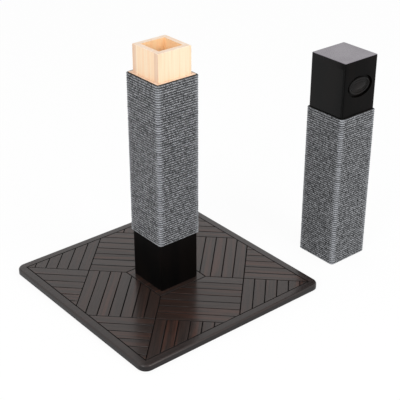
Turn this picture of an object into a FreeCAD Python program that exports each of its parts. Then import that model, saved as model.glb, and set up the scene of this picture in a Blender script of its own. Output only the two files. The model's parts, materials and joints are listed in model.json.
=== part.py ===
import FreeCAD, Part
import math
import os

# Cat scratching post in two square sections. The lower section is screwed to a grooved base
# board and ends in a bare wooden connector. The upper section, an open tube with a black cap,
# pulls off the connector and stands beside the base.
# Millimetres, +Z up. The origin is under the middle of the base, where the pads meet the floor.

os.makedirs("parts", exist_ok=True)

# ---- driving dimensions ----------------------------------------------------------------------

base_side = 400.0
base_thickness = 12.4
base_corner_radius = 17.0
base_top_round = 3.5
base_bottom_chamfer = 1.5

pad_thickness = 1.5
pad_side = 24.0
pad_inset = 28.0              # from the board's edge to a corner pad's middle

groove_width = 2.2
groove_depth = 1.3
frame_border = 15.7           # board's edge to the frame groove
weave_block = 143.3           # side of one block of parallel strips, measured along the diagonals
strips_per_block = 7
post_groove_half = 51.9       # half side of the square groove round the post

post_half = 40.8              # half width of both sections, without the rope
post_corner_radius = 2.0
socket_half = 34.7            # half width of the hollow in both sections

lower_length = 394.5
foot_height = 93.1            # black part of the lower section
upper_length = 401.6
cap_height = 103.0            # black part of the upper section, top plate included

connector_half = 34.5         # slides in the socket with 0.2 mm each side
connector_wall = 10.0
connector_proud = 49.6
connector_seated = 100.0
connector_chamfer = 0.8

rope_diameter = 3.8
rope_sides = 6
rope_clearance = 0.05         # between the rope and the wood under it
rope_end_margin = 0.6         # bare wood past the last turn
lower_rope_pitch = 4.86
upper_rope_pitch = 4.45
wound_turns = 5               # turns drawn one by one on each section, at its top
rope_step_half = 12.0         # on the back, the rope steps down to its next turn over twice this
rope_step_bend = 30.0         # radius of the two bends of that step
rope_end_offset = 16.0        # from the middle of the back to either end of the rope

upper_x = 318.0               # where the upper section stands on the floor
upper_y = -114.0

cap_plate_thickness = 12.0
cap_plate_chamfer = 0.8
cap_block_height = 30.0
recess_half_width = 31.0      # oval recess in the front of the cap
recess_half_height = 20.5
recess_depth = 4.0
recess_sides = 40
medallion_drop = 50.0         # below the top of the cap
medallion_gap = 5.0           # between the recess's wall and the boss's rim
medallion_sides = 32

block_clearance = 0.1         # glue line round the blocks inside the tubes
foot_block_height = 60.0
connector_seat_height = 18.0

fastener_sides = 12           # screws, inserts and their holes are drawn many-sided
screw_spacing = 40.0
screw_radius = 2.95
screw_head_radius = 6.0
screw_head_height = 3.3
screw_length = 33.0
screw_recess = 0.3
screw_play = 0.25             # round the screws in the base board
socket_flats = 4.0
socket_depth = 2.2
insert_radius = 4.3
insert_length = 13.0
insert_bore = 3.0
pilot_radius = 3.4
pilot_depth = 30.0

cap_screw_offset = 18.0
cap_screw_radius = 2.0
cap_screw_head_radius = 4.0
cap_screw_head_height = 2.4
cap_screw_bite = 8.0          # into the top plate

staple_crown = 4.7            # outside length, just past the rope on both sides
staple_wire = 0.35
staple_offset = 4.0           # from a rope's end
staple_width = 1.2
staple_bite = 3.0             # into the wood

# ---- heights that follow ---------------------------------------------------------------------

board_top = pad_thickness + base_thickness
foot_top = board_top + foot_height
lower_top = board_top + lower_length
connector_top = lower_top + connector_proud
connector_bottom = lower_top - connector_seated
cap_bottom = upper_length - cap_height
cap_plate_bottom = upper_length - cap_plate_thickness
medallion_z = upper_length - medallion_drop

Z_AXIS = FreeCAD.Vector(0, 0, 1)
Y_AXIS = FreeCAD.Vector(0, 1, 0)


def vec(x, y, z):
    return FreeCAD.Vector(x, y, z)


def save(shape, name):
    shape.exportStep("parts/" + name + ".step")


# ---- plain forms -----------------------------------------------------------------------------

def box(x0, x1, y0, y1, z0, z1):
    return Part.makeBox(x1 - x0, y1 - y0, z1 - z0, vec(x0, y0, z0))


def many_sided(radius, x, y, z, sides):
    """Closed outline of a regular polygon that stands for a small circle."""
    points = []
    for k in range(sides):
        angle = 2 * math.pi * (k + 0.5) / sides
        points.append(vec(x + radius * math.cos(angle), y + radius * math.sin(angle), z))
    return Part.makePolygon(points + points[:1])


def pin(radius, x, y, z0, z1, sides=fastener_sides):
    return Part.Face(many_sided(radius, x, y, z0, sides)).extrude(Z_AXIS * (z1 - z0))


def square_prism(half, z0, z1):
    return box(-half, half, -half, half, z0, z1)


def upright_edges(solid):
    """Straight edges that run along Z."""
    found = []
    for edge in solid.Edges:
        low, high = edge.Vertexes[0].Point, edge.Vertexes[-1].Point
        if math.hypot(high.x - low.x, high.y - low.y) < 1e-6:
            found.append(edge)
    return found


def edges_at(solid, z):
    """Edges that lie in the level plane z."""
    found = []
    for edge in solid.Edges:
        if abs(edge.BoundBox.ZMin - z) < 1e-4 and abs(edge.BoundBox.ZMax - z) < 1e-4:
            found.append(edge)
    return found


def rounded_prism(half, radius, z0, z1):
    prism = square_prism(half, z0, z1)
    return prism.makeFillet(radius, upright_edges(prism))


def each_corner(offset):
    """The four points (+-offset, +-offset), anticlockwise from the front left."""
    return [(-offset, -offset), (offset, -offset), (offset, offset), (-offset, offset)]


# ---- base board and its grooves --------------------------------------------------------------

def groove_cutter(start, end):
    """V-shaped prism along the board's top from one (x, y) point to another."""
    run = vec(end[0] - start[0], end[1] - start[1], 0)
    side = Z_AXIS.cross(run).normalize() * (groove_width / 2)
    middle = vec(start[0], start[1], board_top)
    rise = Z_AXIS * 0.5
    mouth = side * (1 + 0.5 / groove_depth)
    corners = [middle + mouth + rise, middle - Z_AXIS * groove_depth, middle - mouth + rise]
    face = Part.Face(Part.makePolygon(corners + corners[:1]))
    return face.extrude(run)


def from_diagonals(along, across):
    """(x, y) of a point given along the two diagonals of the board."""
    return ((along + across) / math.sqrt(2), (across - along) / math.sqrt(2))


def spans_on_diagonal(offset, low, high):
    """What is left of a strip line, at a distance from the diagonal, between two positions
    along it, once the frame groove ends it and the square groove round the post interrupts it."""
    frame_reach = math.sqrt(2) * (base_side / 2 - frame_border) - abs(offset)
    post_reach = math.sqrt(2) * post_groove_half - abs(offset)
    low = max(low, -frame_reach)
    high = min(high, frame_reach)
    if post_reach <= 0:
        pieces = [(low, high)]
    else:
        pieces = [(low, min(high, -post_reach)), (max(low, post_reach), high)]
    return [piece for piece in pieces if piece[1] - piece[0] > groove_width]


def weave_lines():
    """Grooves of the basket weave. Blocks lie on the diagonals, and neighbouring blocks have
    their strips at right angles. The block edges are whole lines from frame to frame."""
    lines = []
    reach = base_side
    strip = weave_block / strips_per_block
    for block in (-1, 0, 1):
        offset = block * weave_block
        for low, high in spans_on_diagonal(offset, -reach, reach):
            lines.append((from_diagonals(low, offset), from_diagonals(high, offset)))
            lines.append((from_diagonals(offset, low), from_diagonals(offset, high)))
    for column in (-2, -1, 0, 1):
        for row in (-2, -1, 0, 1):
            strips_along = (column + row) % 2 == 1
            position, other = (row, column) if strips_along else (column, row)
            for number in range(1, strips_per_block):
                offset = position * weave_block + number * strip
                low = other * weave_block
                for start, end in spans_on_diagonal(offset, low, low + weave_block):
                    if strips_along:
                        lines.append((from_diagonals(start, offset), from_diagonals(end, offset)))
                    else:
                        lines.append((from_diagonals(offset, start), from_diagonals(offset, end)))
    return lines


def square_lines(half):
    points = each_corner(half)
    return [(points[i], points[(i + 1) % 4]) for i in range(4)]


def square_groove(half):
    """Four V cutters, run past each corner by a square's worth so that the corners are sharp."""
    bevel = groove_width / 2
    cutters = []
    for start, end in square_lines(half):
        run = vec(end[0] - start[0], end[1] - start[1], 0).normalize() * bevel
        cutters.append(groove_cutter((start[0] - run.x, start[1] - run.y), (end[0] + run.x, end[1] + run.y)))
    return cutters


def screw_places():
    return each_corner(screw_spacing / 2)


def make_base_board():
    half = base_side / 2
    board = square_prism(half, pad_thickness, board_top)
    board = board.makeFillet(base_corner_radius, upright_edges(board))
    board = board.makeFillet(base_top_round, edges_at(board, board_top))
    board = board.makeChamfer(base_bottom_chamfer, edges_at(board, pad_thickness))
    cutters = [groove_cutter(start, end) for start, end in weave_lines()]
    cutters += square_groove(half - frame_border)
    cutters += square_groove(post_groove_half)
    head_top = pad_thickness + screw_recess + screw_head_height
    for x, y in screw_places():
        wide = screw_head_radius + screw_play
        narrow = screw_radius + screw_play
        cutters.append(pin(wide, x, y, pad_thickness - 1, head_top))
        cutters.append(pin(narrow, x, y, head_top, board_top + 1))
    return board.cut(cutters)


def make_base_pads():
    place = base_side / 2 - pad_inset
    pads = []
    for x, y in each_corner(place) + [(0, 0)]:
        reach = pad_side / 2
        pads.append(box(x - reach, x + reach, y - reach, y + reach, 0, pad_thickness))
    return Part.makeCompound(pads)


def make_base_screws():
    screws = []
    low = pad_thickness + screw_recess
    neck = low + screw_head_height
    for x, y in screw_places():
        head = pin(screw_head_radius, x, y, low, neck)
        shank = pin(screw_radius, x, y, neck, low + screw_length)
        corner = socket_flats / math.sqrt(3)
        points = []
        for k in range(6):
            angle = math.radians(60 * k)
            points.append(vec(x + corner * math.cos(angle), y + corner * math.sin(angle), low))
        drive = Part.Face(Part.makePolygon(points + points[:1])).extrude(Z_AXIS * socket_depth)
        screws.append(head.fuse(shank).removeSplitter().cut(drive))
    return Part.makeCompound(screws)


def make_foot_inserts():
    inserts = []
    for x, y in screw_places():
        body = pin(insert_radius, x, y, board_top, board_top + insert_length)
        inserts.append(body.cut(pin(insert_bore, x, y, board_top - 1, board_top + insert_length + 1)))
    return Part.makeCompound(inserts)


def make_foot_block():
    block = square_prism(socket_half - block_clearance, board_top, board_top + foot_block_height)
    holes = []
    for x, y in screw_places():
        holes.append(pin(insert_radius, x, y, board_top - 1, board_top + insert_length))
        holes.append(pin(pilot_radius, x, y, board_top - 1, board_top + pilot_depth))
    return block.cut(holes)


# ---- ovals on the front of the cap -----------------------------------------------------------

def oval_pin(half_width, half_height, z0, z1, sides):
    """Upright prism on a many-sided oval."""
    points = []
    for k in range(sides):
        angle = 2 * math.pi * k / sides
        points.append(vec(half_width * math.cos(angle), half_height * math.sin(angle), z0))
    return Part.Face(Part.makePolygon(points + points[:1])).extrude(Z_AXIS * (z1 - z0))


def on_cap_front(shape):
    """Stands a shape up in front of the cap, with its foot on the floor of the oval recess and
    its top pointing forwards."""
    shape.rotate(vec(0, 0, 0), vec(1, 0, 0), 90)
    shape.translate(vec(0, recess_depth - post_half, medallion_z))
    return shape


# ---- square tubes made of four boards --------------------------------------------------------

def four_boards(tube, inner_half, outer_half):
    """Splits a square tube at its butt joints. The front and back boards run the full width,
    and the left and right boards fit between them."""
    low = tube.BoundBox.ZMin - 1
    high = tube.BoundBox.ZMax + 1
    out = outer_half + 1
    parts = {}
    parts["front"] = tube.common(box(-out, out, -out, -inner_half, low, high))
    parts["back"] = tube.common(box(-out, out, inner_half, out, low, high))
    parts["left"] = tube.common(box(-out, -inner_half, -inner_half, inner_half, low, high))
    parts["right"] = tube.common(box(inner_half, out, -inner_half, inner_half, low, high))
    return parts


def section_tube(low, high):
    """The square tube that both sections are made from."""
    outside = rounded_prism(post_half, post_corner_radius, low, high)
    return outside.cut(square_prism(socket_half, low - 1, high + 1))


def make_lower_boards():
    return four_boards(section_tube(board_top, lower_top), socket_half, post_half)


def make_upper_boards():
    boards = four_boards(section_tube(0, cap_plate_bottom), socket_half, post_half)
    recess = oval_pin(recess_half_width, recess_half_height, 0, recess_depth + 1, recess_sides)
    boards["front"] = boards["front"].cut(on_cap_front(recess))
    return boards


def make_connector_boards():
    tube = square_prism(connector_half, connector_bottom, connector_top)
    inner_half = connector_half - connector_wall
    tube = tube.makeChamfer(connector_chamfer, edges_at(tube, connector_top))
    tube = tube.cut(square_prism(inner_half, connector_bottom - 1, connector_top + 1))
    return four_boards(tube, inner_half, connector_half)


def make_connector_seat():
    return square_prism(socket_half - block_clearance, connector_bottom - connector_seat_height, connector_bottom)


# ---- wound rope ------------------------------------------------------------------------------

def winding_route(top, pitch):
    """Centre line of the rope. Its turns lie level round the tube, and on the back each steps
    down to the next, between the places where the rope's two ends are fixed."""
    half = post_half + rope_clearance + rope_diameter / 2
    corner_radius = post_corner_radius + rope_clearance + rope_diameter / 2
    points = [vec(rope_end_offset, half, top)]
    radii = []
    for turn in range(wound_turns):
        level = top - pitch * turn
        if turn > 0:
            points += [vec(-rope_step_half, half, level + pitch), vec(rope_step_half, half, level)]
            radii += [rope_step_bend, rope_step_bend]
        for x, y in ((half, half), (half, -half), (-half, -half), (-half, half)):
            points.append(vec(x, y, level))
            radii.append(corner_radius)
    points.append(vec(-rope_end_offset, half, level))
    return rounded_route(points, radii)


def rounded_route(points, radii):
    """Straight runs between the points, joined by arcs tangent to both runs, one radius each."""
    edges = []
    here = points[0]
    for before, corner, after, radius in zip(points, points[1:], points[2:], radii):
        toward = (corner - before).normalize()
        away = (after - corner).normalize()
        turn = toward.getAngle(away)
        cut_back = radius * math.tan(turn / 2)
        arc_start = corner - toward * cut_back
        arc_end = corner + away * cut_back
        inward = (away - toward).normalize()
        arc_middle = corner + inward * (radius / math.cos(turn / 2) - radius)
        edges.append(Part.LineSegment(here, arc_start).toShape())
        edges.append(Part.Arc(arc_start, arc_middle, arc_end).toShape())
        here = arc_end
    edges.append(Part.LineSegment(here, points[-1]).toShape())
    return Part.Wire(edges)


def least_gap(route, pitch):
    """Smallest clear distance between one turn of the rope and the next, from points along
    the route: every point against those between half a turn and a turn and a half on."""
    per_turn = 96
    count = per_turn * wound_turns
    points = route.discretize(Number=count + 1)
    least = pitch * wound_turns
    for i in range(0, count, 3):
        for j in range(i + per_turn // 2, min(i + per_turn * 3 // 2, count)):
            least = min(least, points[i].distanceToPoint(points[j]))
    return least - rope_diameter


def make_winding(top, pitch, name):
    """One unbroken rope of many-sided section, wound down the tube from its top end."""
    route = winding_route(top, pitch)
    start = route.OrderedEdges[0].valueAt(route.OrderedEdges[0].FirstParameter)
    ahead = route.OrderedEdges[0].tangentAt(route.OrderedEdges[0].FirstParameter)
    outward = Y_AXIS
    upward = ahead.cross(outward).normalize()
    ring = []
    for k in range(rope_sides):
        angle = 2 * math.pi * (k + 0.5) / rope_sides
        ring.append(start + (outward * math.cos(angle) + upward * math.sin(angle)) * (rope_diameter / 2))
    section = Part.makePolygon(ring + ring[:1])
    rope = route.makePipeShell([section], True, False)
    section_area = 0.5 * rope_sides * (rope_diameter / 2) ** 2 * math.sin(2 * math.pi / rope_sides)
    print(name, "valid", rope.isValid(), "volume over section times length",
          round(rope.Volume / (section_area * route.Length), 4), "least gap", round(least_gap(route, pitch), 3))
    return rope


def make_rope_sleeve(low, high):
    """Plain sleeve for the turns further down, with the outline of the winding."""
    thickness = rope_clearance + rope_diameter
    outside = rounded_prism(post_half + thickness, post_corner_radius + thickness, low, high)
    return outside.cut(square_prism(post_half + rope_clearance, low - 1, high + 1))


def make_rope(low, high, pitch, name):
    """Rope of one section: its upper turns one by one, and the sleeve below them."""
    first = high - rope_end_margin - rope_diameter / 2
    winding = make_winding(first, pitch, name)
    sleeve_top = winding.BoundBox.ZMin - 0.3
    return winding, make_rope_sleeve(low + rope_end_margin, sleeve_top)


def make_staples(low, high):
    """Two staples on the back, over the ends of the rope that fills the wound stretch from low
    to high. The crown stands across the rope and the legs go into the wood beside it."""
    out = post_half + rope_clearance + rope_diameter
    inset = rope_end_margin + rope_diameter / 2
    aside = rope_end_offset + staple_offset
    staples = []
    for x, z in ((-aside, low + inset), (aside, high - inset)):
        z0 = z - staple_crown / 2
        z1 = z + staple_crown / 2
        foot = post_half - staple_bite
        outside = box(x - staple_width / 2, x + staple_width / 2, foot, out + staple_wire, z0, z1)
        inside = box(x - staple_width, x + staple_width, foot - 1, out, z0 + staple_wire, z1 - staple_wire)
        staples.append(outside.cut(inside))
    return Part.makeCompound(staples)


# ---- cap of the upper section ----------------------------------------------------------------

def make_cap_plate():
    plate = rounded_prism(post_half, post_corner_radius, cap_plate_bottom, upper_length)
    plate = plate.makeChamfer(cap_plate_chamfer, edges_at(plate, upper_length))
    holes = []
    for x in (-cap_screw_offset, cap_screw_offset):
        holes.append(pin(cap_screw_radius, x, 0, cap_plate_bottom - 1, cap_plate_bottom + cap_screw_bite))
    return plate.cut(holes)


def make_cap_block():
    low = cap_plate_bottom - cap_block_height
    block = square_prism(socket_half - block_clearance, low, cap_plate_bottom)
    holes = []
    for x in (-cap_screw_offset, cap_screw_offset):
        holes.append(pin(cap_screw_radius, x, 0, low - 1, cap_plate_bottom + 1))
        holes.append(pin(cap_screw_head_radius, x, 0, low - 1, low + cap_screw_head_height))
    return block.cut(holes)


def make_cap_screws():
    low = cap_plate_bottom - cap_block_height
    screws = []
    for x in (-cap_screw_offset, cap_screw_offset):
        head = pin(cap_screw_head_radius, x, 0, low, low + cap_screw_head_height)
        shank = pin(cap_screw_radius, x, 0, low + cap_screw_head_height, cap_plate_bottom + cap_screw_bite)
        screws.append(head.fuse(shank).removeSplitter())
    return Part.makeCompound(screws)


def make_medallion():
    """Plain oval boss: a disc that carries a raised rim, a bead and a middle, one inside the
    other. It is drawn lying down, with heights measured up from the floor of the recess."""
    def oval(inset, height):
        half_width = recess_half_width - medallion_gap - inset
        half_height = recess_half_height - medallion_gap - inset
        return oval_pin(half_width, half_height, 0, height, medallion_sides)

    boss = oval(0, 1.5)
    for outer, inner, height in ((0, 3.0, 3.2), (5.0, 6.5, 2.2)):
        boss = boss.fuse(oval(outer, height).cut(oval(inner, height + 1)))
    boss = boss.fuse(oval(9.0, 3.4)).removeSplitter()
    return on_cap_front(boss)


# ---- the whole post --------------------------------------------------------------------------

def stand_aside(shape):
    """Moves a piece of the upper section from the origin to its place beside the base."""
    moved = shape.copy()
    moved.translate(vec(upper_x, upper_y, 0))
    return moved


save(make_base_board(), "base_board")
save(make_base_pads(), "base_pads")
save(make_base_screws(), "base_screws")
save(make_foot_inserts(), "foot_inserts")
save(make_foot_block(), "foot_block")
for side, board in make_lower_boards().items():
    save(board, "lower_board_" + side)
save(make_connector_seat(), "connector_seat")
for side, board in make_connector_boards().items():
    save(board, "connector_board_" + side)

lower_winding, lower_sleeve = make_rope(foot_top, lower_top, lower_rope_pitch, "lower_rope_turns")
save(lower_winding, "lower_rope_turns")
save(lower_sleeve, "lower_rope")
save(make_staples(foot_top, lower_top), "lower_rope_staples")

for side, board in make_upper_boards().items():
    save(stand_aside(board), "upper_board_" + side)
save(stand_aside(make_cap_plate()), "cap_top_plate")
save(stand_aside(make_cap_block()), "cap_block")
save(stand_aside(make_cap_screws()), "cap_screws")
save(stand_aside(make_medallion()), "cap_medallion")
upper_winding, upper_sleeve = make_rope(0, cap_bottom, upper_rope_pitch, "upper_rope_turns")
save(stand_aside(upper_winding), "upper_rope_turns")
save(stand_aside(upper_sleeve), "upper_rope")
save(stand_aside(make_staples(0, cap_bottom)), "upper_rope_staples")
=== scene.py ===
import json
import math
import bmesh
import bpy
import numpy as np
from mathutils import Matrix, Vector

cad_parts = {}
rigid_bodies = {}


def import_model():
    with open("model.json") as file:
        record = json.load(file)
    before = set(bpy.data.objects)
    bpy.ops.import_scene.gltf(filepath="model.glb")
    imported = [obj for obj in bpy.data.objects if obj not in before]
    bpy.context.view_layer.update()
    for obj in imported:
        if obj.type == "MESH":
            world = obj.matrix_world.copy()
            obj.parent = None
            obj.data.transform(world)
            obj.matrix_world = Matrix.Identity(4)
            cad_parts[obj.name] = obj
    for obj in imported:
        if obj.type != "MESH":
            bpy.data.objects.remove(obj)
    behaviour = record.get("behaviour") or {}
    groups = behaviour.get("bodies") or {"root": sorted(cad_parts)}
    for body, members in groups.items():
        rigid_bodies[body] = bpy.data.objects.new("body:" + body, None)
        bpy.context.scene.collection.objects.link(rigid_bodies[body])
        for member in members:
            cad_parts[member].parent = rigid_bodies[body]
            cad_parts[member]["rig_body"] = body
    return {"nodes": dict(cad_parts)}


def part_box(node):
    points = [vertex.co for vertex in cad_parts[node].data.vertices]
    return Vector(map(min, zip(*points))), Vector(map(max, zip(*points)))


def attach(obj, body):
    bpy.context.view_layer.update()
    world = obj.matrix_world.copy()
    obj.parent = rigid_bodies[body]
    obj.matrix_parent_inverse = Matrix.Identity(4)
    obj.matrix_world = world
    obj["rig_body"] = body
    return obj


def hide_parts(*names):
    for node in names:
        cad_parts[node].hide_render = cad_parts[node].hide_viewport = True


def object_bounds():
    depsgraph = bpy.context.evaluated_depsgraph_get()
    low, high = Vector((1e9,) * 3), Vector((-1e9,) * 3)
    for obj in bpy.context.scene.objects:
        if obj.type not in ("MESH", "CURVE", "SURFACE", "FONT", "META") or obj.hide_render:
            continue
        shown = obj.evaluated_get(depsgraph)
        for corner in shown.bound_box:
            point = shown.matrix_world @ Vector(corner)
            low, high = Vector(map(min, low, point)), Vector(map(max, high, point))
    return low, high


# Looks of a two-section cat scratching post: lacquered grooved base, rope-wound square sections,
# bare wooden connector and a black cap with an oval boss. Metres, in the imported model's frame.

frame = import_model()
cad_low, cad_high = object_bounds()

MM = 0.001

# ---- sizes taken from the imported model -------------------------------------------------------

BASE_LOW, BASE_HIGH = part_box("base_board")
FOOT_LOW, LOWER_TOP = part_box("lower_board_front")[0].z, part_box("lower_board_front")[1].z
UPPER_LOW, UPPER_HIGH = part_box("upper_board_front")
PLATE_LOW, PLATE_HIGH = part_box("cap_top_plate")
UPPER_CENTRE = ((UPPER_LOW.x + UPPER_HIGH.x) / 2, (PLATE_LOW.y + PLATE_HIGH.y) / 2)
SOCKET_HALF = -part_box("lower_board_left")[0].y
PLATE_TOP = PLATE_HIGH.z

# ---- sizes of the finish, repeated from the construction --------------------------------------

WEAVE_BLOCK = 143.3 * MM
STRIP = WEAVE_BLOCK / 7
FRAME_BORDER = 15.7 * MM
POST_GROOVE_HALF = 51.9 * MM
POST_HALF = 40.8 * MM
POST_CORNER = 2.0 * MM
FOOT_TOP = 107.0 * MM
CAP_BOTTOM = 298.6 * MM
BOSS_HALF_WIDTH = 26.0 * MM
BOSS_HALF_HEIGHT = 15.5 * MM

# ---- the rope as it is wound here ---------------------------------------------------------------

# The pitches are measured on the photograph's winding and are finer than the construction's. They
# are rounded to a whole number of turns. Fullness is a turn's height as a share of its pitch, and
# the end is how far the rope runs on from its staple's outer edge.
ROPE_THICKNESS = 3.85 * MM
ROPE_FULLNESS = 0.94
ROPE_END = 4.6 * MM
LOWER_PITCH = 4.33 * MM
UPPER_PITCH = 4.24 * MM
RING_STEP = 1.45 * MM
STRANDS = 3
STRAND_POINTS = 4
LAY = 10.5 * MM
STRAND_CREASE = 0.16


# ---- meshes worked out on grids ---------------------------------------------------------------

def new_piece(name, mesh, body, material):
    """Puts a finished mesh into the scene as a piece that rides on a body."""
    piece = bpy.data.objects.new(name, mesh)
    bpy.context.scene.collection.objects.link(piece)
    mesh.materials.append(material)
    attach(piece, body)
    return piece


def grid_mesh(name, points, capped=False, uv=None):
    """Mesh of a surface given as rows of points, each row a closed ring. Quads join every ring to
    the next; where it is capped, one many-sided face closes each end. uv gives each corner of the
    grid its place on the surface, one column wider than the rings so that the seam is whole."""
    rows, sides = points.shape[:2]
    row, side = np.meshgrid(np.arange(rows - 1), np.arange(sides), indexing="ij")
    beside = (side + 1) % sides
    quads = np.stack([row * sides + side, row * sides + beside, (row + 1) * sides + beside,
                      (row + 1) * sides + side], axis=-1).reshape(-1, 4)
    loops = quads.ravel()
    starts = np.arange(len(quads)) * 4
    totals = np.full(len(quads), 4)
    if capped:
        ends = np.concatenate([np.arange(sides)[::-1], (rows - 1) * sides + np.arange(sides)])
        starts = np.concatenate([starts, [len(loops), len(loops) + sides]])
        totals = np.concatenate([totals, [sides, sides]])
        loops = np.concatenate([loops, ends])
    mesh = bpy.data.meshes.new(name)
    mesh.vertices.add(rows * sides)
    mesh.vertices.foreach_set("co", points.reshape(-1).astype(np.float32))
    mesh.loops.add(len(loops))
    mesh.loops.foreach_set("vertex_index", loops.astype(np.int32))
    mesh.polygons.add(len(starts))
    mesh.polygons.foreach_set("loop_start", starts.astype(np.int32))
    mesh.polygons.foreach_set("loop_total", totals.astype(np.int32))
    if uv is not None:
        corner_uv = np.stack([uv[row, side], uv[row, side + 1], uv[row + 1, side + 1],
                              uv[row + 1, side]], axis=2)
        flat = np.zeros((len(loops), 2), np.float32)
        flat[:len(quads) * 4] = corner_uv.reshape(-1, 2)
        mesh.uv_layers.new(name="along_rope").data.foreach_set("uv", flat.ravel())
    mesh.update(calc_edges=True)
    mesh.validate()
    mesh.shade_smooth()
    return mesh


def smooth_copy(node, material, sharp_degrees=35):
    """The CAD node's own shape with its triangles joined, so that its rounded edges shade as
    smooth and its flat faces stay flat. It takes the node's place."""
    source = frame["nodes"][node]
    mesh = source.data.copy()
    mesh.materials.clear()
    work = bmesh.new()
    work.from_mesh(mesh)
    bmesh.ops.remove_doubles(work, verts=work.verts, dist=1e-6)
    work.to_mesh(mesh)
    work.free()
    mesh.attributes.remove(mesh.attributes["custom_normal"])
    mesh.shade_smooth()
    mesh.set_sharp_from_angle(angle=math.radians(sharp_degrees))
    piece = new_piece(node + "_finished", mesh, source["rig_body"], material)
    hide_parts(node)
    return piece


# ---- materials --------------------------------------------------------------------------------

class Finish:
    """A material under construction, with short calls for the nodes that it is made of."""

    def __init__(self, name):
        self.material = bpy.data.materials.new(name)
        self.material.use_nodes = True
        self.tree = self.material.node_tree
        self.shader = self.tree.nodes["Principled BSDF"]

    def node(self, kind):
        """A new shader node, named without its common first word."""
        return self.tree.nodes.new("ShaderNode" + kind)

    def join(self, value, socket):
        """Feeds a socket with another node's output, or with a plain value."""
        if isinstance(value, bpy.types.NodeSocket):
            self.tree.links.new(value, socket)
        else:
            socket.default_value = value

    def set(self, **values):
        """Sets the shader's own sockets, named with underscores for spaces."""
        for name, value in values.items():
            self.join(value, self.shader.inputs[name.replace("_", " ")])

    def place(self):
        """Position on the object, as separate x, y and z outputs."""
        parts = self.node("SeparateXYZ")
        self.join(self.node("TexCoord").outputs["Object"], parts.inputs[0])
        return parts.outputs

    def calc(self, operation, *values):
        """Result of one arithmetic step."""
        node = self.node("Math")
        node.operation = operation
        for value, socket in zip(values, node.inputs):
            self.join(value, socket)
        return node.outputs[0]

    def vector(self, x, y, z):
        """Three numbers joined into one position."""
        node = self.node("CombineXYZ")
        for value, socket in zip((x, y, z), node.inputs):
            self.join(value, socket)
        return node.outputs[0]

    def noise(self, where, scale=1.0, detail=3.0, roughness=0.5, distortion=0.0):
        """Cloudy noise, about 0 to 1, at a position."""
        node = self.node("TexNoise")
        self.join(where, node.inputs["Vector"])
        node.inputs["Scale"].default_value = scale
        node.inputs["Detail"].default_value = detail
        node.inputs["Roughness"].default_value = roughness
        node.inputs["Distortion"].default_value = distortion
        return node.outputs["Fac"]

    def random(self, where):
        """One steady random value for each cell of a position."""
        node = self.node("TexWhiteNoise")
        self.join(where, node.inputs["Vector"])
        return node.outputs["Value"]

    def spread(self, value, low, high, to_low=0.0, to_high=1.0):
        """Maps a value's range onto another, clamped and eased."""
        node = self.node("MapRange")
        node.interpolation_type = "SMOOTHSTEP"
        for name, number in (("Value", value), ("From Min", low), ("From Max", high),
                             ("To Min", to_low), ("To Max", to_high)):
            self.join(number, node.inputs[name])
        return node.outputs["Result"]

    def blend(self, factor, first, second, mode="MIX"):
        """Mixes two colours."""
        node = self.node("Mix")
        node.data_type = "RGBA"
        node.blend_type = mode
        self.join(factor, node.inputs[0])
        self.join(first, node.inputs[6])
        self.join(second, node.inputs[7])
        return node.outputs[2]

    def bump(self, height, distance, strength=1.0, under=None):
        """Surface direction tilted by a height, on top of another bump where one is given."""
        node = self.node("Bump")
        node.inputs["Strength"].default_value = strength
        node.inputs["Distance"].default_value = distance
        self.join(height, node.inputs["Height"])
        if under is not None:
            self.join(under, node.inputs["Normal"])
        return node.outputs["Normal"]


def srgb(red, green, blue):
    """Linear colour of an sRGB value written 0 to 255."""
    linear = []
    for value in (red, green, blue):
        c = value / 255
        linear.append(c / 12.92 if c <= 0.04045 else ((c + 0.055) / 1.055) ** 2.4)
    return (*linear, 1.0)


def pale_wood_colour(f, along, across, depth, light, dark, knots=True):
    """Straight-grained pale wood: fine streaks stretched along the grain over broad soft bands,
    with a few small brown flecks."""
    streak_at = f.vector(f.calc("MULTIPLY", along, 9.0), f.calc("MULTIPLY", across, 520.0),
                         f.calc("MULTIPLY", depth, 520.0))
    streaks = f.noise(streak_at, 1.0, 4.0, 0.6, 0.4)
    band_at = f.vector(f.calc("MULTIPLY", along, 2.5), f.calc("MULTIPLY", across, 95.0),
                       f.calc("MULTIPLY", depth, 95.0))
    bands = f.noise(band_at, 1.0, 2.0, 0.5, 0.8)
    tone = f.calc("ADD", f.calc("MULTIPLY", streaks, 0.5), f.calc("MULTIPLY", bands, 0.5))
    colour = f.blend(f.spread(tone, 0.36, 0.66), light, dark)
    if knots:
        fleck_at = f.vector(f.calc("MULTIPLY", along, 60.0), f.calc("MULTIPLY", across, 240.0),
                            f.calc("MULTIPLY", depth, 240.0))
        flecks = f.spread(f.noise(fleck_at, 1.0, 1.0, 0.5), 0.74, 0.82)
        colour = f.blend(f.calc("MULTIPLY", flecks, 0.5), colour, srgb(150, 105, 80))
    return colour, streaks


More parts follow.
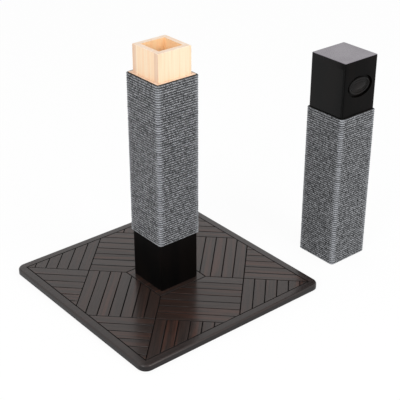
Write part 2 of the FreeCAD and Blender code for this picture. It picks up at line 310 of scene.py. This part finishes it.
def bare_wood(name, light, dark, end_from=None, hollow_half=None, top_z=None):
    """Sanded bare wood with upright grain. Where they are given, a board's narrow sides past
    end_from on X are a little greyer, the faces round the hollow warmer, a painted bounce light,
    and the cut ends at top_z paler."""
    f = Finish(name)
    x, y, z = f.place()
    colour, streaks = pale_wood_colour(f, z, x, y, light, dark)
    if end_from is not None:
        narrow_side = f.calc("GREATER_THAN", f.calc("ABSOLUTE", x), end_from)
        colour = f.blend(narrow_side, colour, (0.87, 0.80, 0.83, 1), "MULTIPLY")
    if hollow_half is not None:
        reach = f.calc("MAXIMUM", f.calc("ABSOLUTE", x), f.calc("ABSOLUTE", y))
        # The faces round the hollow are tinted warmer: painted bounce light in the hollow.
        colour = f.blend(f.calc("LESS_THAN", reach, hollow_half), colour, (1.06, 0.95, 0.78, 1), "MULTIPLY")
        colour = f.blend(f.calc("GREATER_THAN", z, top_z), colour, (1.0, 1.03, 1.16, 1), "MULTIPLY")
    f.set(Base_Color=colour, Roughness=0.62, Specular_IOR_Level=0.3,
          Normal=f.bump(streaks, 0.12 * MM, 0.35))
    return f.material


def board_grain(f, x, y):
    """Strip tint, fine grain, broad grain and lean of the base board's face. The two diagonals, u
    and v, are cut into blocks; a block's strips run along u where its column and row add to an
    odd number and along v otherwise. Each strip has its own tint, its own stretch of grain and
    its own slight lean to one side."""
    root = 1 / math.sqrt(2)
    u = f.calc("MULTIPLY", f.calc("SUBTRACT", x, y), root)
    v = f.calc("MULTIPLY", f.calc("ADD", x, y), root)
    column = f.calc("FLOOR", f.calc("DIVIDE", u, WEAVE_BLOCK))
    row = f.calc("FLOOR", f.calc("DIVIDE", v, WEAVE_BLOCK))
    odd = f.calc("FLOORED_MODULO", f.calc("ADD", column, row), 2.0)
    reach = f.calc("MAXIMUM", f.calc("ABSOLUTE", x), f.calc("ABSOLUTE", y))
    in_frame = f.calc("LESS_THAN", reach, BASE_HIGH.x - FRAME_BORDER)
    past_post = f.calc("GREATER_THAN", reach, POST_GROOVE_HALF)
    woven = f.calc("MULTIPLY", in_frame, past_post)
    wide = f.calc("ADD", f.calc("MULTIPLY", odd, v), f.calc("MULTIPLY", f.calc("SUBTRACT", 1.0, odd), u))
    long = f.calc("ADD", f.calc("MULTIPLY", odd, u), f.calc("MULTIPLY", f.calc("SUBTRACT", 1.0, odd), v))
    plain = f.calc("SUBTRACT", 1.0, woven)
    across = f.calc("ADD", f.calc("MULTIPLY", woven, wide), f.calc("MULTIPLY", plain, y))
    along = f.calc("ADD", f.calc("MULTIPLY", woven, long), f.calc("MULTIPLY", plain, x))
    number = f.calc("MULTIPLY", woven, f.calc("FLOOR", f.calc("DIVIDE", wide, STRIP)))
    block = f.calc("MULTIPLY", woven, f.calc("ADD", column, f.calc("MULTIPLY", row, 7.0)))
    tint = f.random(f.vector(number, block, odd))
    shift = f.calc("MULTIPLY", tint, 30.0)
    grain = f.noise(f.vector(f.calc("MULTIPLY", along, 14.0), f.calc("MULTIPLY", across, 420.0), shift),
                    1.0, 5.0, 0.6, 0.3)
    broad = f.noise(f.vector(f.calc("MULTIPLY", along, 5.0), f.calc("MULTIPLY", across, 90.0), shift),
                    1.0, 2.0, 0.5, 0.6)
    tilt = f.calc("SUBTRACT", f.calc("FRACT", f.calc("MULTIPLY", tint, 7.3)), 0.5)
    place = f.calc("MULTIPLY", woven, f.calc("SUBTRACT", f.calc("FRACT", f.calc("DIVIDE", wide, STRIP)), 0.5))
    lean = f.calc("MULTIPLY", f.calc("MULTIPLY", tilt, place), STRIP)
    return tint, grain, broad, lean


def base_lacquer():
    """Espresso lacquer over wood. Reddish grain shows through where nothing bright is mirrored; the
    satin coat mirrors the room at a low angle, a little unevenly from strip to strip. The border
    is darker and greyer, and the board's sides are painted darker and greyer, a painted shade. The
    lacquer is thin and dull in the grooves, and the grooves are painted near black, a painted shade."""
    f = Finish("espresso_lacquer")
    x, y, z = f.place()
    tint, grain, broad, lean = board_grain(f, x, y)
    colour = f.blend(f.spread(grain, 0.35, 0.68), srgb(50, 37, 32), srgb(34, 25, 22))
    colour = f.blend(f.calc("MULTIPLY", f.spread(broad, 0.45, 0.72), 0.6), colour, srgb(78, 48, 38))
    colour = f.blend(f.spread(tint, 0.0, 1.0, 0.0, 0.4), colour, srgb(46, 40, 38))
    top = BASE_HIGH.z
    reach = f.calc("MAXIMUM", f.calc("ABSOLUTE", x), f.calc("ABSOLUTE", y))
    frame_line = BASE_HIGH.x - FRAME_BORDER
    border = f.spread(reach, frame_line - 1 * MM, frame_line + 1 * MM)
    colour = f.blend(f.calc("MULTIPLY", border, 0.7), colour, srgb(42, 37, 36))
    # The board's sides, below the rounded top edge, are painted darker and greyer: painted shade.
    edge = f.spread(z, top - 1.6 * MM, top - 3.4 * MM)
    colour = f.blend(f.calc("MULTIPLY", edge, 0.8), colour, srgb(30, 29, 30))
    # Outside the grooves the lacquer keeps its colour and coat; in the grooves it is painted near black, a
    # painted shade, and has no coat.
    past_grooves = f.calc("GREATER_THAN", reach, BASE_HIGH.x - FRAME_BORDER / 2)
    open_face = f.calc("MAXIMUM", f.spread(z, top - 0.5 * MM, top - 0.02 * MM),
                       f.calc("MAXIMUM", past_grooves, f.calc("LESS_THAN", z, top - 1.6 * MM)))
    colour = f.blend(open_face, srgb(8, 6, 5), colour)
    coat = f.calc("MULTIPLY", open_face, f.calc("SUBTRACT", 1.0, f.calc("MULTIPLY", edge, 0.5)))
    f.set(Base_Color=colour, Roughness=0.55, Specular_IOR_Level=0.06,
          Coat_Weight=coat, Coat_IOR=1.38, Coat_Roughness=0.2,
          Normal=f.bump(grain, 0.05 * MM, 0.3), Coat_Normal=f.bump(lean, 0.05))
    return f.material


def black_paint(f, x, y, z, level=2):
    """Near-black satin paint with a faint brown cast, brushed a little unevenly. Gives its colour
    and the height of its brush marks."""
    cloud = f.noise(f.vector(f.calc("MULTIPLY", x, 30.0), f.calc("MULTIPLY", y, 30.0),
                             f.calc("MULTIPLY", z, 9.0)))
    brush = f.noise(f.vector(f.calc("MULTIPLY", x, 500.0), f.calc("MULTIPLY", y, 500.0),
                             f.calc("MULTIPLY", z, 12.0)))
    dark = srgb(level, level, level)
    return f.blend(f.spread(cloud, 0.35, 0.65), dark, srgb(level + 7, level + 4, level + 3)), brush


def boss_lacquer():
    """The black paint of the boss on the cap, painted paler: a painted highlight for the light the raised
    boss catches.
    """
    f = Finish("black_lacquer_boss")
    x, y, z = f.place()
    # The boss is painted paler than the cap's black: painted highlight.
    colour, brush = black_paint(f, x, y, z, 24)
    f.set(Base_Color=colour, Roughness=0.36, Specular_IOR_Level=0.08, Normal=f.bump(brush, 0.04 * MM, 0.25))
    return f.material


def section_board(name, centre, black_from, black_to, end_z, mirror, lid_z=None):
    """Finish of a tube's boards: black lacquer on the stretch that shows, the face under the rope
    painted dark as painted shade for the gaps between the turns, and bare pale wood on the inside of
    the tube and on its open end, where the end is paler and bluer, partly its own end grain and partly
    painted light. mirror is how much the lacquer reflects. The section with a lid, whose top is at
    lid_z, also has a thick polished coat there and a thin one on its left side, and its top is painted
    lighter, a painted sheen."""
    f = Finish(name)
    x, y, z = f.place()
    reach = f.calc("MAXIMUM", f.calc("ABSOLUTE", f.calc("SUBTRACT", x, centre[0])),
                   f.calc("ABSOLUTE", f.calc("SUBTRACT", y, centre[1])))
    black = f.calc("MULTIPLY", f.calc("GREATER_THAN", z, black_from), f.calc("LESS_THAN", z, black_to))
    inside = f.calc("LESS_THAN", reach, SOCKET_HALF + 0.05 * MM)
    at_end = f.calc("LESS_THAN", f.calc("ABSOLUTE", f.calc("SUBTRACT", z, end_z)), 0.1 * MM)
    coat = 0.0
    if lid_z is not None:
        on_lid = f.calc("GREATER_THAN", z, lid_z - 0.5 * MM)
        inside = f.calc("MULTIPLY", inside, f.calc("LESS_THAN", z, UPPER_HIGH.z + 0.1 * MM))
        cloud = f.noise(f.vector(f.calc("MULTIPLY", x, 24.0), f.calc("MULTIPLY", y, 24.0), 0.0), 1.0, 2.0)
        left_side = f.calc("MULTIPLY", f.calc("LESS_THAN", x, centre[0] - POST_HALF + 0.3 * MM), black)
        coat = f.calc("MAXIMUM", f.calc("MULTIPLY", on_lid, f.spread(cloud, 0.35, 0.65, 0.9, 1.0)),
                      f.calc("MULTIPLY", left_side, 0.07))
    bare = f.calc("MAXIMUM", inside, at_end)
    wood, streaks = pale_wood_colour(f, z, x, y, srgb(246, 216, 184), srgb(226, 186, 148))
    # The open end is paler and bluer: partly its end grain's own tone, partly painted light against the shade
    # at the ledge.
    wood = f.blend(at_end, wood, (1.08, 1.14, 1.32, 1), "MULTIPLY")
    paint, brush = black_paint(f, x, y, z)
    # The face under the rope is painted dark grey: painted shade for the gaps between the turns.
    paint_shade_and_sheen = f.blend(black, srgb(30, 28, 27), paint)
    if lid_z is not None:
        # The lid's top is painted lighter than the black paint: a painted sheen.
        paint_shade_and_sheen = f.blend(on_lid, paint_shade_and_sheen, srgb(58, 38, 62))
    rough = f.calc("ADD", 0.36, f.calc("MULTIPLY", bare, 0.26))
    f.set(Base_Color=f.blend(bare, paint_shade_and_sheen, wood), Roughness=rough, Specular_IOR_Level=mirror,
          Coat_Weight=coat, Coat_IOR=2.4, Coat_Roughness=0.16,
          Normal=f.bump(brush, 0.04 * MM, 0.25, f.bump(streaks, 0.08 * MM, 0.3)))
    return f.material


def rope_fibre():
    """Grey twisted rope: fine fibres that run along each strand, painted shade in the creases between
    the strands and between the turns, and paler fibres on the corners, partly stretched fibres and
    partly a painted highlight."""
    f = Finish("grey_rope")
    uv = f.node("UVMap")
    uv.uv_map = "along_rope"
    parts = f.node("SeparateXYZ")
    f.join(uv.outputs[0], parts.inputs[0])
    along, around = parts.outputs[0], parts.outputs[1]
    strands_round = f.calc("MULTIPLY", around, float(STRANDS))
    strand = f.calc("FLOOR", strands_round)
    crease = f.calc("ABSOLUTE", f.calc("SUBTRACT", f.calc("FRACT", strands_round), 0.5))
    fibres = f.noise(f.vector(f.calc("MULTIPLY", along, 480.0), f.calc("MULTIPLY", around, 26.0), strand),
                     1.0, 3.0, 0.65, 0.2)
    tuft = f.random(f.vector(f.calc("FLOOR", f.calc("MULTIPLY", along, 420.0)), strand, 0.0))
    tone = f.calc("ADD", f.calc("MULTIPLY", fibres, 0.84), f.calc("MULTIPLY", tuft, 0.16))
    colour = f.blend(f.spread(tone, 0.38, 0.62), srgb(20, 22, 25), srgb(190, 192, 196))
    # Painted shade in the creases between the strands.
    colour = f.blend(f.spread(crease, 0.3, 0.48, 0.0, 0.7), colour, srgb(20, 20, 22))
    # Paler fibres on the corners: partly stretched fibres, partly a painted highlight.
    corner = f.node("Attribute")
    corner.attribute_name = "corner"
    colour = f.blend(f.calc("MULTIPLY", corner.outputs["Fac"], 0.5), colour, srgb(194, 197, 203))
    # Where the rope turns away from the outside, between the turns and against the board, it is painted dark:
    # painted shade, lighter at the corners.
    crest = f.node("Attribute")
    crest.attribute_name = "crest"
    between = f.blend(corner.outputs["Fac"], srgb(14, 14, 16), srgb(96, 98, 102))
    colour = f.blend(f.spread(crest.outputs["Fac"], 0.2, 0.84), between, colour)
    f.set(Base_Color=colour, Roughness=0.7, Specular_IOR_Level=0.25, Sheen_Weight=0.15, Sheen_Roughness=0.5,
          Normal=f.bump(fibres, 0.35 * MM, 0.7))
    return f.material


def plain_finish(name, colour, rough, metallic=0.0, grain=400.0):
    """Small hidden parts: one colour with fine mottling and uneven sheen."""
    f = Finish(name)
    mottle = f.noise(f.node("TexCoord").outputs["Object"], grain, 3.0, 0.6)
    darker = tuple(0.7 * c for c in colour[:3]) + (1.0,)
    f.set(Base_Color=f.blend(f.spread(mottle, 0.35, 0.65), colour, darker), Metallic=metallic,
          Roughness=f.spread(mottle, 0.3, 0.7, rough - 0.08, rough + 0.08),
          Normal=f.bump(mottle, 0.05 * MM, 0.3))
    return f.material


# ---- wound rope -------------------------------------------------------------------------------

def square_loop(distance, half, radius):
    """Point, outward direction and corner share on a rounded square, by distance along it. The
    loop starts in the middle of the back, heading +X, and goes round clockwise seen from above.
    Each side is a straight run of 2 (half - radius) and a quarter arc of the given radius. The
    share is a bell curve of the distance to the nearest corner's middle."""
    straight = 2 * (half - radius)
    arc = math.pi * radius / 2
    gone = distance + straight / 2
    side = np.floor(gone / (straight + arc)).astype(int)
    rest = gone - side * (straight + arc)
    turn = np.clip((rest - straight) / radius, 0, math.pi / 2)
    heading = np.array([(1, 0), (0, -1), (-1, 0), (0, 1)], float)[side % 4]
    outward = np.array([(0, 1), (1, 0), (0, -1), (-1, 0)], float)[side % 4]
    run = np.minimum(rest, straight) - straight / 2
    normal = np.cos(turn)[:, None] * outward + np.sin(turn)[:, None] * heading
    point = run[:, None] * heading + (half - radius) * outward + radius * normal
    off_corner = np.minimum(np.abs(rest - straight - arc / 2), rest + arc / 2)
    share = np.exp(-(off_corner / (4.8 * MM)) ** 2)
    return point, normal, share


def drift(distance, step, size, seed):
    """Slow random wander: random values one step apart, joined by eased curves."""
    rng = np.random.default_rng(seed)
    values = rng.normal(0, size, int(distance[-1] / step) + 3)
    place = distance / step
    index = np.floor(place).astype(int)
    ease = place - index
    ease = ease * ease * (3 - 2 * ease)
    return values[index] * (1 - ease) + values[index + 1] * ease


def wind_rope(name, centre, low, high, pitch, staples, nodes, parts, seed):
    """One rope wound from the top end of a section to its bottom. Its turns lie level and step
    down by one pitch between the two staples on the back, on an eased curve. Its section is an
    oval with three rounded lobes, radius = 1 - k + k |cos 1.5 angle|, that turn along the rope
    as twisted strands do. It is made in equal lengths, to keep each mesh small."""
    across = pitch * ROPE_FULLNESS / 2
    deep = ROPE_THICKNESS / 2
    half = POST_HALF + deep
    radius = POST_CORNER + deep
    perimeter = 4 * (2 * (half - radius) + math.pi * radius / 2)
    steps = round((high - low - 2 * across) / pitch)
    pitch = (high - low - 2 * across) / steps
    seam = (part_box(staples)[1].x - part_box(staples)[0].x) / 2 - ROPE_END
    sides = STRANDS * STRAND_POINTS
    rings = int((steps + 1) * perimeter / RING_STEP / parts) * parts
    distance = np.linspace(seam, (steps + 1) * perimeter - seam, rings + 1)
    point, normal, share = square_loop(distance, half, radius)
    share = np.clip(share * (1 + drift(distance, 60 * MM, 0.35, seed + 3)), 0, 1)
    crossing = np.round(distance / perimeter)
    beside = np.clip(0.5 + (distance - crossing * perimeter) / (2 * seam), 0, 1)
    level = crossing - 1 + beside * beside * (3 - 2 * beside)
    fall = high - across - level * pitch + drift(distance, 38 * MM, 0.10 * MM, seed)
    swell = 1 + drift(distance, 21 * MM, 0.02, seed + 1)
    flat = 1 - 0.10 * share
    angle = np.arange(sides) * 2 * math.pi / sides
    lobe = 1 - STRAND_CREASE + STRAND_CREASE * np.abs(np.cos(STRANDS / 2 * angle))
    wander = np.cumsum(drift(distance, 12 * MM, 0.10, seed + 2))
    spin = 2 * math.pi * distance / LAY + wander
    turn = angle[None, :] + spin[:, None]
    out = deep * (swell * flat)[:, None] * lobe * np.cos(turn)
    up = across * swell[:, None] * lobe * np.sin(turn)
    points = np.empty((rings + 1, sides, 3))
    points[..., 0] = centre[0] + point[:, 0, None] + normal[:, 0, None] * out
    points[..., 1] = centre[1] + point[:, 1, None] + normal[:, 1, None] * out
    points[..., 2] = np.clip(fall[:, None] + up, low, high)
    uv = np.empty((rings + 1, sides + 1, 2))
    uv[..., 0] = distance[:, None]
    uv[..., 1] = np.arange(sides + 1) / sides + 0.5 / STRANDS
    body = frame["nodes"][nodes[0]]["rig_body"]
    each = rings // parts
    for part in range(parts):
        stretch = slice(part * each, (part + 1) * each + 1)
        mesh = grid_mesh(f"{name}_{part + 1}", points[stretch], True, uv[stretch])
        # The corner and crest values carry the rope's painted highlight on the corners and its painted shade
        # between the turns.
        for layer, values in (("corner", np.repeat(share[stretch], sides)),
                              ("crest", np.cos(turn[stretch]).ravel())):
            held = mesh.attributes.new(layer, "FLOAT", "POINT")
            held.data.foreach_set("value", values.astype(np.float32))
        piece = new_piece(f"{name}_{part + 1}", mesh, body, ROPE)
        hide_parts(nodes[part % len(nodes)])


# ---- oval boss on the cap ----------------------------------------------------------------------

def oval_boss(name, profile, steps, centre, back_y):
    """Surface built of ovals that face -Y, one inside the other: each (half width, half height,
    rise) of the profile makes one ring of points, its rise measured forwards from the back."""
    angle = np.arange(steps) * 2 * math.pi / steps
    points = np.empty((len(profile), steps, 3))
    points[..., 0] = centre.x + profile[:, 0, None] * np.cos(angle)
    points[..., 1] = back_y - profile[:, 2, None] + 0 * angle
    points[..., 2] = centre.z + profile[:, 1, None] * np.sin(angle)
    return grid_mesh(name, points, True)


def boss_profile():
    """Profile of the boss from its back outwards: straight edge, rounded rim, cove, bead and a
    domed middle. Round stretches are quarter and half circles, pressed flat."""
    quarter = np.linspace(0, math.pi / 2, 9)
    half = np.linspace(0, math.pi, 11)
    wide, high = BOSS_HALF_WIDTH, BOSS_HALF_HEIGHT
    inset = np.concatenate([[0, 0], 1.5 - 1.5 * np.cos(half), [3.3, 4.7], 5.75 - 0.75 * np.cos(half),
                            [6.8, 8.7]]) * MM
    rise = np.concatenate([[0, 2.2], 2.2 + 1.0 * np.sin(half), [1.5, 1.5], 1.5 + 0.7 * np.sin(half),
                           [1.5, 1.5]]) * MM
    rings = np.stack([wide - inset, high - inset, rise], axis=1)
    reach = np.maximum(np.cos(quarter), 0.004)
    dome = np.stack([(wide - 9 * MM) * reach, (high - 9 * MM) * reach,
                     (1.5 + 1.9 * np.sin(quarter)) * MM], axis=1)
    return np.concatenate([rings, dome])


# ---- the pieces -------------------------------------------------------------------------------

ROPE = rope_fibre()

base_finish = base_lacquer()
lower_finish = section_board("lower_boards", (0, 0), FOOT_LOW - 1, FOOT_TOP, LOWER_TOP, 0.08)
upper_finish = section_board("upper_boards", UPPER_CENTRE, CAP_BOTTOM, 1, 0.0, 0.05, PLATE_TOP)
connector_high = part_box("connector_board_front")[1]
connector_hollow = -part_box("connector_board_front")[1].y + 0.1 * MM
connector_face = bare_wood("connector_wood", srgb(255, 234, 204), srgb(250, 218, 182),
                           connector_high.x - 0.2 * MM, connector_hollow, connector_high.z - 0.5 * MM)
# The left and right boards get a slightly warmer and brighter copy of the wood: painted light on those faces.
connector_side_painted_light = bare_wood("connector_wood_side_painted_light", srgb(255, 233, 204), srgb(254, 217, 178), None,
                           connector_hollow, connector_high.z - 0.5 * MM)
block_wood = bare_wood("block_wood", srgb(236, 205, 165), srgb(214, 176, 132))
rubber = plain_finish("black_rubber", srgb(28, 28, 29), 0.8)
zinc = plain_finish("zinc_steel", srgb(190, 190, 186), 0.35, 1.0)
brass = plain_finish("brass", srgb(202, 168, 96), 0.35, 1.0)

smooth_copy("base_board", base_finish)
for side in ("front", "back", "left", "right"):
    smooth_copy("lower_board_" + side, lower_finish)
    smooth_copy("upper_board_" + side, upper_finish)
smooth_copy("cap_top_plate", upper_finish)

for node, finish in (("connector_board_front", connector_face), ("connector_board_back", connector_face),
                     ("connector_board_left", connector_side_painted_light), ("connector_board_right", connector_side_painted_light),
                     ("foot_block", block_wood), ("connector_seat", block_wood), ("cap_block", block_wood),
                     ("base_pads", rubber), ("base_screws", zinc), ("cap_screws", zinc),
                     ("lower_rope_staples", zinc), ("upper_rope_staples", zinc), ("foot_inserts", brass)):
    shown = frame["nodes"][node].data
    shown.materials.clear()
    shown.materials.append(finish)

wind_rope("lower_winding", (0, 0), FOOT_TOP + 0.2 * MM, LOWER_TOP - 0.3 * MM, LOWER_PITCH,
          "lower_rope_staples", ("lower_rope_turns", "lower_rope"), 2, 11)
wind_rope("upper_winding", UPPER_CENTRE, 0.3 * MM, CAP_BOTTOM - 0.1 * MM, UPPER_PITCH,
          "upper_rope_staples", ("upper_rope_turns", "upper_rope"), 2, 23)

boss_low, boss_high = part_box("cap_medallion")
boss_mesh = oval_boss("cap_boss", boss_profile(), 96, (boss_low + boss_high) / 2, boss_high.y)
boss_mesh.set_sharp_from_angle(angle=math.radians(50))
boss = new_piece("cap_boss", boss_mesh, "upper_section", boss_lacquer())
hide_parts("cap_medallion")


# ---- floor, light and camera ------------------------------------------------------------------

FLOOR_REACH = 8.0
FLOOR_BELOW = 0.05 * MM
FLOOR_PAINT = (0.9, 0.9, 0.9, 1)
CARD_COLOUR = (1.02, 1.02, 1.02, 1)
CARD_SHARE = 0.9
ROOM_LIGHT = 0.62


def seen_by(tree, *rays):
    """1 for a ray of any of the given kinds and 0 for all others."""
    path = tree.nodes.new("ShaderNodeLightPath")
    seen = path.outputs[rays[0]]
    for ray in rays[1:]:
        either = tree.nodes.new("ShaderNodeMath")
        either.operation = "MAXIMUM"
        tree.links.new(seen, either.inputs[0])
        tree.links.new(path.outputs[ray], either.inputs[1])
        seen = either.outputs[0]
    return seen


def mix_shaders(tree, share, first, second, end):
    """Feeds an output node's surface with two shaders, share being the second one's part."""
    mixed = tree.nodes.new("ShaderNodeMixShader")
    for source, socket in zip((share, first, second), mixed.inputs):
        tree.links.new(source, socket)
    tree.links.new(mixed.outputs[0], tree.nodes[end].inputs["Surface"])


def pale_floor():
    """Wide white floor. The camera and mirror rays see most of it as a white card that shadows
    don't reach, so the object's shadow stays light."""
    mesh = bpy.data.meshes.new("floor")
    level = cad_low.z - FLOOR_BELOW
    mesh.from_pydata([(-FLOOR_REACH, -FLOOR_REACH, level), (FLOOR_REACH, -FLOOR_REACH, level),
                      (FLOOR_REACH, FLOOR_REACH, level), (-FLOOR_REACH, FLOOR_REACH, level)],
                     [], [(0, 1, 2, 3)])
    floor = bpy.data.objects.new("floor", mesh)
    bpy.context.scene.collection.objects.link(floor)
    material = bpy.data.materials.new("white_floor")
    material.use_nodes = True
    tree = material.node_tree
    paint = tree.nodes["Principled BSDF"]
    paint.inputs["Base Color"].default_value = FLOOR_PAINT
    paint.inputs["Roughness"].default_value = 0.9
    card = tree.nodes.new("ShaderNodeEmission")
    card.inputs["Color"].default_value = CARD_COLOUR
    share = tree.nodes.new("ShaderNodeMath")
    share.operation = "MULTIPLY"
    share.inputs[1].default_value = CARD_SHARE
    tree.links.new(seen_by(tree, "Is Camera Ray", "Is Glossy Ray"), share.inputs[0])
    mix_shaders(tree, share.outputs[0], paint.outputs[0], card.outputs[0], "Material Output")
    mesh.materials.append(material)


def white_room():
    """Even soft light from all round; camera, mirror and glass rays see plain white."""
    world = bpy.data.worlds.new("white_room")
    bpy.context.scene.world = world
    world.use_nodes = True
    tree = world.node_tree
    light = tree.nodes["Background"]
    white = tree.nodes.new("ShaderNodeBackground")
    for background, strength in ((light, ROOM_LIGHT), (white, 1.0)):
        background.inputs["Color"].default_value = (1, 1, 1, 1)
        background.inputs["Strength"].default_value = strength
    seen = seen_by(tree, "Is Camera Ray", "Is Glossy Ray", "Is Transmission Ray")
    mix_shaders(tree, seen, light.outputs[0], white.outputs[0], "World Output")


def soft_lamp(name, place, aim, size, power):
    """Square soft box at a place, turned to its aim."""
    data = bpy.data.lights.new(name, "AREA")
    data.shape = "SQUARE"
    data.size = size
    data.energy = power
    lamp = bpy.data.objects.new(name, data)
    lamp.location = place
    lamp.rotation_euler = (Vector(aim) - Vector(place)).to_track_quat("-Z", "Y").to_euler()
    bpy.context.scene.collection.objects.link(lamp)


# The camera's angles and distance come from the base's corners and grooves in the photograph.
# The middle of the base's underside lies at the pixel below, in the 400 by 400 picture.
PICTURE = 400.0
FOCAL_PIXELS = 1021.96
BASE_MIDDLE_PIXEL = (165.97, 279.88)
CAMERA_AZIMUTH = math.radians(-39.505)
CAMERA_ELEVATION = math.radians(28.188)
CAMERA_DISTANCE = 1.88713
SENSOR = 36.0


def photo_camera():
    """Level camera that sees the base's middle at its pixel. back points from the object to the
    camera; the camera is moved sideways and down so that the middle falls off the axis."""
    back = Vector((math.sin(CAMERA_AZIMUTH) * math.cos(CAMERA_ELEVATION),
                   -math.cos(CAMERA_AZIMUTH) * math.cos(CAMERA_ELEVATION), math.sin(CAMERA_ELEVATION)))
    right = Vector((math.cos(CAMERA_AZIMUTH), math.sin(CAMERA_AZIMUTH), 0))
    up = back.cross(right)
    per_pixel = CAMERA_DISTANCE / FOCAL_PIXELS
    aside = (BASE_MIDDLE_PIXEL[0] - PICTURE / 2) * per_pixel
    above = (PICTURE / 2 - BASE_MIDDLE_PIXEL[1]) * per_pixel
    data = bpy.data.cameras.new("camera")
    data.sensor_width = SENSOR
    data.lens = SENSOR * FOCAL_PIXELS / PICTURE
    camera = bpy.data.objects.new("camera", data)
    camera.location = Vector((0, 0, BASE_LOW.z)) + back * CAMERA_DISTANCE - right * aside - up * above
    camera.rotation_euler = (-back).to_track_quat("-Z", "Y").to_euler()
    bpy.context.scene.collection.objects.link(camera)
    bpy.context.scene.camera = camera


pale_floor()
white_room()
soft_lamp("key_lamp", (0.5, -2.3, 1.7), (0.1, 0, 0.2), 1.4, 24)
soft_lamp("front_lamp", (-2.2, -0.9, 1.5), (0.1, 0, 0.2), 1.2, 22)
photo_camera()
bpy.context.scene.view_settings.view_transform = "Standard"
